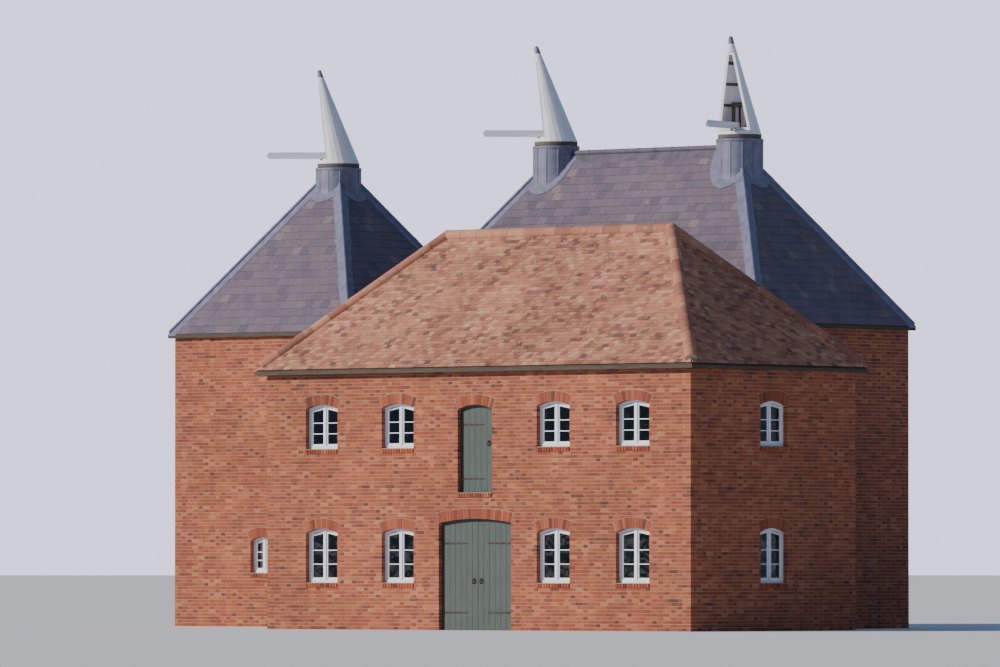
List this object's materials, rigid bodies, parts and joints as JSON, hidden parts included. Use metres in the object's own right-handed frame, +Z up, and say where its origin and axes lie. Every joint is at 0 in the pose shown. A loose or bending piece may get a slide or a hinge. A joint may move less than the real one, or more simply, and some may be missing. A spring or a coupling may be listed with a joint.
{
  "type": "oast house",
  "caption": "Brick oast house: square hop kilns in a row under slate roofs with turning white cowls, and a hipped stowage in front.",
  "frame": {"origin": "middle of the box round the whole house, at ground level", "axes": "+X along the row of kilns from the single kiln to the double kiln, -Y out of the front of the stowage, +Z up"},
  "size_m": [19.72, 11.02, 12.8282],
  "materials": {
    "brick": "rough",
    "slate": "matte",
    "clay_tile": "rough",
    "lead": "dull",
    "ridge_tile": "matte",
    "oak": "rough",
    "white_boards": "painted white",
    "iron": "dull",
    "door_paint": "painted",
    "glass": "clear"
  },
  "bodies": {
    "house": {"single_kiln_front_wall": "brick", "single_kiln_back_wall": "brick", "single_kiln_left_wall": "brick", "single_kiln_right_wall": "brick", "single_kiln_roof_front": "slate", "single_kiln_roof_back": "slate", "single_kiln_roof_left": "slate", "single_kiln_roof_right": "slate", "single_kiln_hips": "lead", "single_kiln_curb": "lead", "single_kiln_drying_floor": "oak", "double_kiln_front_wall": "brick", "double_kiln_back_wall": "brick", "double_kiln_left_wall": "brick", "double_kiln_right_wall": "brick", "double_kiln_party_wall": "brick", "double_kiln_roof_front": "slate", "double_kiln_roof_back": "slate", "double_kiln_roof_left": "slate", "double_kiln_roof_right": "slate", "double_kiln_hips": "lead", "double_kiln_ridge": "ridge_tile", "double_kiln_curbs": "lead", "double_kiln_drying_floors": "oak", "passage_front_wall": "brick", "passage_back_wall": "brick", "passage_roof": "slate", "stowage_front_wall": "brick", "stowage_left_wall": "brick", "stowage_right_wall": "brick", "stowage_back_wall": "brick", "stowage_roof_front": "clay_tile", "stowage_roof_back": "clay_tile", "stowage_roof_left": "clay_tile", "stowage_roof_right": "clay_tile", "stowage_ridge_tiles": "clay_tile", "valley_gutter": "lead", "loft_floor": "oak", "ground_floors": "brick", "window_frames": "white_boards", "window_glass": "glass", "door_frames": "door_paint", "doors": "door_paint", "spindles": "iron"},
    "cowl_a_turning": {"cowl_a": "white_boards", "cowl_a_frame": "oak", "finger_a": "white_boards"},
    "cowl_b_turning": {"cowl_b": "white_boards", "cowl_b_frame": "oak", "finger_b": "white_boards"},
    "cowl_c_turning": {"cowl_c": "white_boards", "cowl_c_frame": "oak", "finger_c": "white_boards"}
  },
  "joints": [
    {"name": "cowl_a_turn", "type": "hinge", "parent": "house", "child": "cowl_a_turning", "pos_m": [-7.14, 2.79, 10.3282], "axis": [0, 0, 1], "continuous": true},
    {"name": "cowl_b_turn", "type": "hinge", "parent": "house", "child": "cowl_b_turning", "pos_m": [-0.74, 2.79, 10.6282], "axis": [0, 0, 1], "continuous": true},
    {"name": "cowl_c_turn", "type": "hinge", "parent": "house", "child": "cowl_c_turning", "pos_m": [4.46, 2.79, 10.6282], "axis": [0, 0, 1], "continuous": true}
  ]
}
